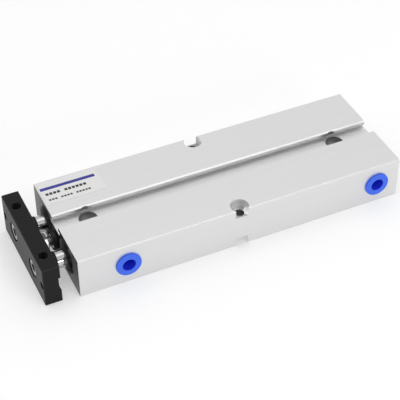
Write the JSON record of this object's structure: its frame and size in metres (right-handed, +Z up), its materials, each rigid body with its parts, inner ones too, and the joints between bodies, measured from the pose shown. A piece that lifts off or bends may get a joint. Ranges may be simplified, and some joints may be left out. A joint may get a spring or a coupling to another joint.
{
  "type": "twin rod pneumatic cylinder",
  "caption": "Flat pneumatic cylinder with twin guide rods joined by an end plate, a sensor slot along the top, side ports with push-in plugs and through mounting holes.",
  "frame": {"origin": "on the bottom face that the cylinder is bolted down by, midway between the two side mounting holes", "axes": "+X along the rods from the end plate to the back of the body, +Y across to the side without ports, +Z up through the face with the sensor slot"},
  "size_m": [0.1747, 0.0569, 0.0211],
  "materials": {
    "silver_aluminium": "satin silver anodised extrusion",
    "black_aluminium": "black anodised aluminium",
    "bare_aluminium": "turned, uncoated",
    "chrome_rod": "hard chrome, ground and polished",
    "zinc_steel": "zinc plated steel",
    "spring_steel": "phosphated spring steel",
    "bronze": "sintered oil-filled bronze",
    "black_rubber": "nitrile rubber, matt",
    "magnet": "bonded ferrite",
    "wear_ring_plastic": "filled fluoropolymer tape",
    "blue_plastic": "moulded polyethylene, slightly glossy",
    "label_film": "printed silver film"
  },
  "bodies": {
    "housing": {"cylinder_body": "silver_aluminium", "front_cover_near": "black_aluminium", "front_cover_far": "black_aluminium", "rod_bush_near": "bronze", "rod_bush_far": "bronze", "rod_seal_near": "black_rubber", "rod_seal_far": "black_rubber", "front_oring_near": "black_rubber", "front_oring_far": "black_rubber", "front_retaining_ring_near": "spring_steel", "front_retaining_ring_far": "spring_steel", "rear_cover_near": "bare_aluminium", "rear_cover_far": "bare_aluminium", "rear_oring_near": "black_rubber", "rear_oring_far": "black_rubber", "rear_retaining_ring_near": "spring_steel", "rear_retaining_ring_far": "spring_steel", "label": "label_film"},
    "rod_unit": {"end_plate": "black_aluminium", "stop_screw": "zinc_steel", "stop_lock_nut": "zinc_steel", "stop_pad": "black_rubber", "piston_rod_near": "chrome_rod", "piston_rod_far": "chrome_rod", "plate_screw_near": "zinc_steel", "plate_screw_far": "zinc_steel", "piston_cushion_near": "black_rubber", "piston_cushion_far": "black_rubber", "piston_front_near": "bare_aluminium", "piston_front_far": "bare_aluminium", "magnet_ring_near": "magnet", "magnet_ring_far": "magnet", "piston_rear_near": "bare_aluminium", "piston_rear_far": "bare_aluminium", "piston_seals_near": "black_rubber", "piston_seals_far": "black_rubber", "wear_ring_near": "wear_ring_plastic", "wear_ring_far": "wear_ring_plastic", "piston_nut_near": "zinc_steel", "piston_nut_far": "zinc_steel"},
    "front_plug": {"front_port_plug": "blue_plastic"},
    "rear_plug": {"rear_port_plug": "blue_plastic"}
  },
  "joints": [
    {"name": "rod_stroke", "type": "slide", "parent": "housing", "child": "rod_unit", "axis": [-1, 0, 0], "range_m": [0, 0.1]},
    {"name": "front_plug_pull", "type": "slide", "parent": "housing", "child": "front_plug", "axis": [0, -1, 0], "range_m": [0, 0.01]},
    {"name": "rear_plug_pull", "type": "slide", "parent": "housing", "child": "rear_plug", "axis": [0, -1, 0], "range_m": [0, 0.01]}
  ]
}
